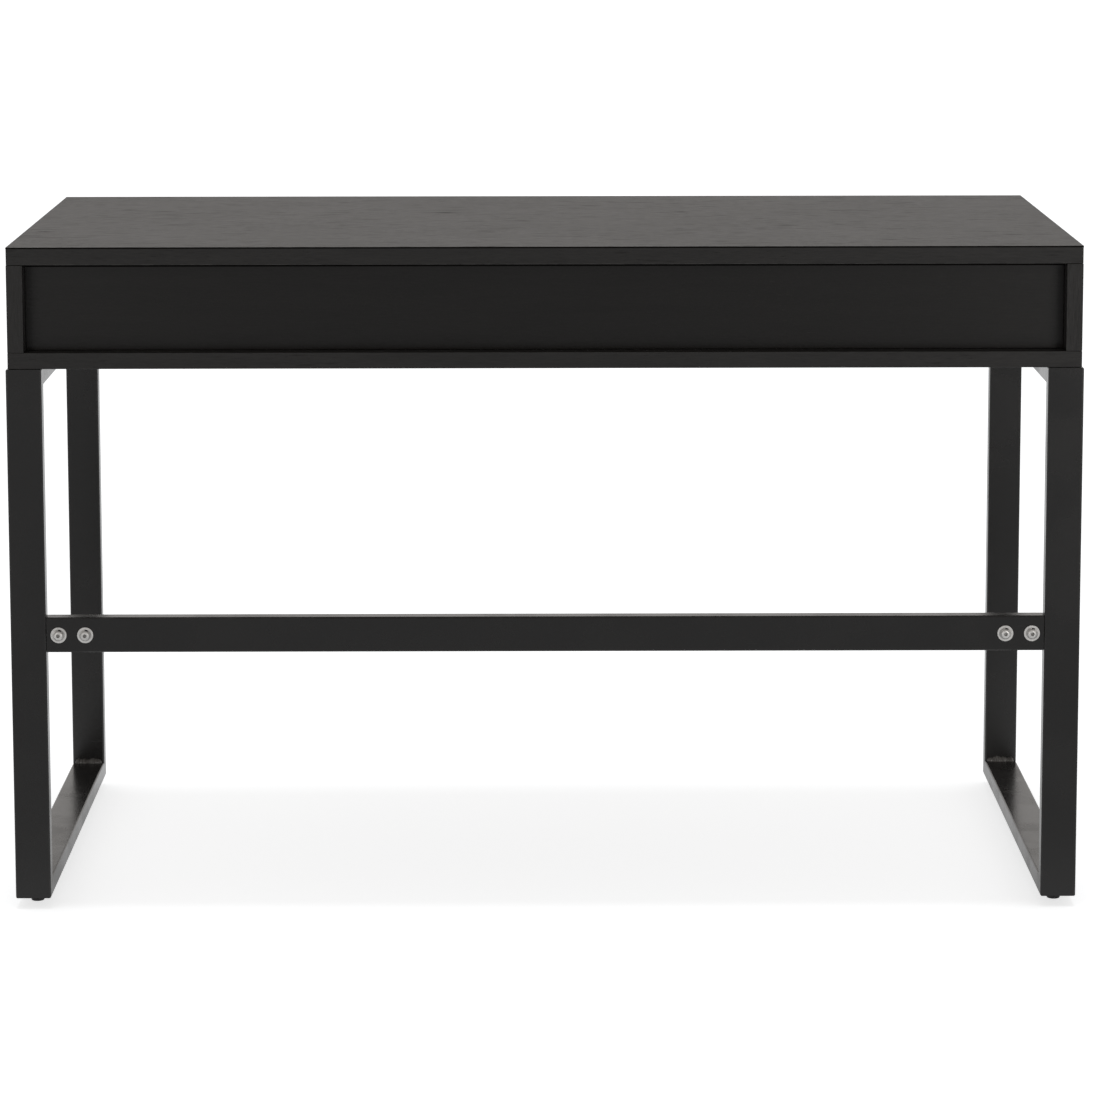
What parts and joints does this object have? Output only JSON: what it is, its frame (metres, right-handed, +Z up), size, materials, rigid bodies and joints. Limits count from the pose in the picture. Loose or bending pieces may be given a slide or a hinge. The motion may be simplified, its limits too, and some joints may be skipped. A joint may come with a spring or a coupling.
{
  "type": "writing desk with drawers",
  "caption": "Writing desk: a shallow wood-grain case with drawers, standing on rectangular steel tube side frames joined by a bolted stretcher at the back.",
  "frame": {"origin": "on the floor, at the centre of the desk footprint", "axes": "+X to the right as seen from the back of the desk, +Y from the back of the desk to the drawer side, +Z up"},
  "size_m": [1.205, 0.6072, 0.756],
  "materials": {
    "case_laminate": "black-brown wood-grain laminate, satin",
    "powder_coat": "black powder coat, semi-gloss",
    "zinc": "bright zinc plate",
    "slide_zinc": "zinc-plated rolled steel",
    "drawer_board": "dark wood-grain foil, matt",
    "foot_plastic": "moulded black nylon"
  },
  "bodies": {
    "desk": {"back_panel": "case_laminate", "bottom_board": "case_laminate", "centre_partition": "case_laminate", "left_back_leg": "powder_coat", "left_bottom_rail": "powder_coat", "left_drawer_left_slide_cabinet": "slide_zinc", "left_drawer_right_slide_cabinet": "slide_zinc", "left_frame_back_bolt": "zinc", "left_frame_front_bolt": "zinc", "left_front_leg": "powder_coat", "left_inner_bolt": "zinc", "left_inner_flat_washer": "zinc", "left_inner_lock_washer": "zinc", "left_outer_bolt": "zinc", "left_outer_flat_washer": "zinc", "left_outer_lock_washer": "zinc", "left_side_panel": "case_laminate", "left_stretcher_tab": "powder_coat", "left_top_rail": "powder_coat", "right_back_leg": "powder_coat", "right_bottom_rail": "powder_coat", "right_drawer_left_slide_cabinet": "slide_zinc", "right_drawer_right_slide_cabinet": "slide_zinc", "right_frame_back_bolt": "zinc", "right_frame_front_bolt": "zinc", "right_front_leg": "powder_coat", "right_inner_bolt": "zinc", "right_inner_flat_washer": "zinc", "right_inner_lock_washer": "zinc", "right_outer_bolt": "zinc", "right_outer_flat_washer": "zinc", "right_outer_lock_washer": "zinc", "right_side_panel": "case_laminate", "right_stretcher_tab": "powder_coat", "right_top_rail": "powder_coat", "stretcher": "powder_coat", "top_board": "case_laminate"},
    "left_drawer": {"left_drawer_front": "case_laminate", "left_drawer_left_side": "drawer_board", "left_drawer_right_side": "drawer_board", "left_drawer_back": "drawer_board", "left_drawer_bottom": "drawer_board", "left_drawer_left_slide_drawer": "slide_zinc", "left_drawer_right_slide_drawer": "slide_zinc"},
    "left_drawer_left_slide_middle": {"left_drawer_left_slide_middle": "slide_zinc"},
    "left_drawer_right_slide_middle": {"left_drawer_right_slide_middle": "slide_zinc"},
    "right_drawer": {"right_drawer_front": "case_laminate", "right_drawer_left_side": "drawer_board", "right_drawer_right_side": "drawer_board", "right_drawer_back": "drawer_board", "right_drawer_bottom": "drawer_board", "right_drawer_left_slide_drawer": "slide_zinc", "right_drawer_right_slide_drawer": "slide_zinc"},
    "right_drawer_left_slide_middle": {"right_drawer_left_slide_middle": "slide_zinc"},
    "right_drawer_right_slide_middle": {"right_drawer_right_slide_middle": "slide_zinc"},
    "left_back_foot": {"left_back_foot": "foot_plastic"},
    "left_front_foot": {"left_front_foot": "foot_plastic"},
    "right_back_foot": {"right_back_foot": "foot_plastic"},
    "right_front_foot": {"right_front_foot": "foot_plastic"}
  },
  "joints": [
    {"name": "left_drawer_travel", "type": "slide", "parent": "desk", "child": "left_drawer", "axis": [0, 1, 0], "range_m": [0, 0.45]},
    {"name": "left_drawer_left_middle_travel", "type": "slide", "parent": "desk", "child": "left_drawer_left_slide_middle", "axis": [0, 1, 0], "range_m": [0, 0.225]},
    {"name": "left_drawer_right_middle_travel", "type": "slide", "parent": "desk", "child": "left_drawer_right_slide_middle", "axis": [0, 1, 0], "range_m": [0, 0.225]},
    {"name": "right_drawer_travel", "type": "slide", "parent": "desk", "child": "right_drawer", "axis": [0, 1, 0], "range_m": [0, 0.45]},
    {"name": "right_drawer_left_middle_travel", "type": "slide", "parent": "desk", "child": "right_drawer_left_slide_middle", "axis": [0, 1, 0], "range_m": [0, 0.225]},
    {"name": "right_drawer_right_middle_travel", "type": "slide", "parent": "desk", "child": "right_drawer_right_slide_middle", "axis": [0, 1, 0], "range_m": [0, 0.225]},
    {"name": "left_back_foot_height", "type": "slide", "parent": "desk", "child": "left_back_foot", "axis": [0, 0, -1], "range_m": [0, 0.01]},
    {"name": "left_front_foot_height", "type": "slide", "parent": "desk", "child": "left_front_foot", "axis": [0, 0, -1], "range_m": [0, 0.01]},
    {"name": "right_back_foot_height", "type": "slide", "parent": "desk", "child": "right_back_foot", "axis": [0, 0, -1], "range_m": [0, 0.01]},
    {"name": "right_front_foot_height", "type": "slide", "parent": "desk", "child": "right_front_foot", "axis": [0, 0, -1], "range_m": [0, 0.01]}
  ],
  "couplings": [
    {"joint": "left_drawer_left_middle_travel", "follows": "left_drawer_travel", "ratio": 0.5},
    {"joint": "left_drawer_right_middle_travel", "follows": "left_drawer_travel", "ratio": 0.5},
    {"joint": "right_drawer_left_middle_travel", "follows": "right_drawer_travel", "ratio": 0.5},
    {"joint": "right_drawer_right_middle_travel", "follows": "right_drawer_travel", "ratio": 0.5}
  ]
}
